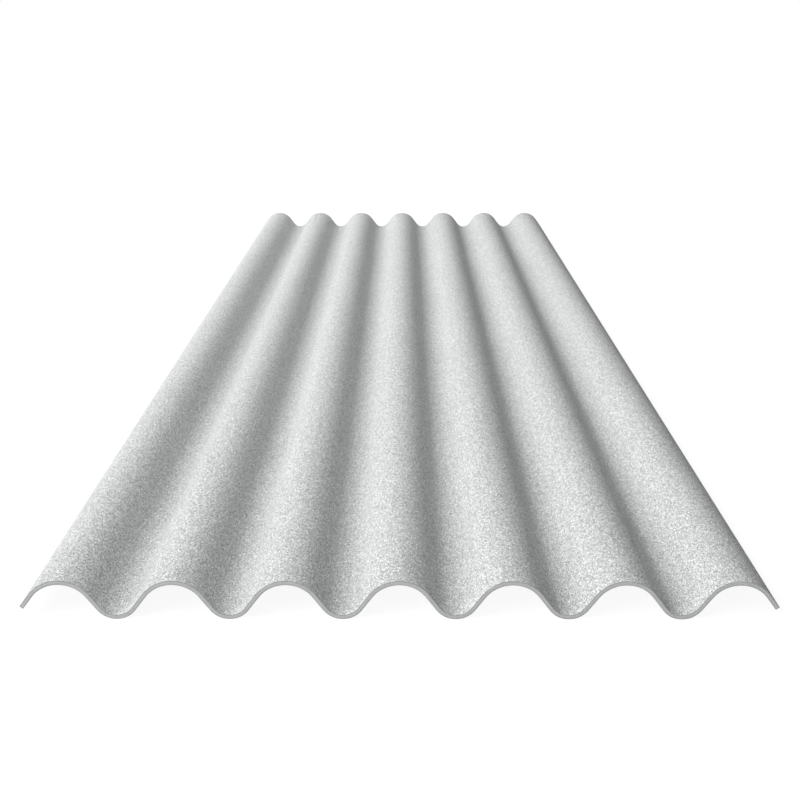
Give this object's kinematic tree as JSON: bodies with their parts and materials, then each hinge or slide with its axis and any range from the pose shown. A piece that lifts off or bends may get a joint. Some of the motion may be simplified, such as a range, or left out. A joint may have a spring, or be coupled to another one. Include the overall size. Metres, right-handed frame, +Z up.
{
  "type": "corrugated fiber cement sheet",
  "caption": "Rigid roofing and cladding sheet of cement and fibre, pressed into parallel round waves and cut square on all sides.",
  "frame": {"origin": "centre of the sheet's footprint, on the floor that the valleys rest on", "axes": "+Y along the waves and the sheet's length, +X across the waves, +Z up from the valleys to the crests"},
  "size_m": [0.98, 3.05, 0.0538],
  "materials": {
    "fibre_cement": "matt, pale grey, finely speckled"
  },
  "bodies": {
    "root": {"corrugated_sheet": "fibre_cement"}
  },
  "joints": []
}
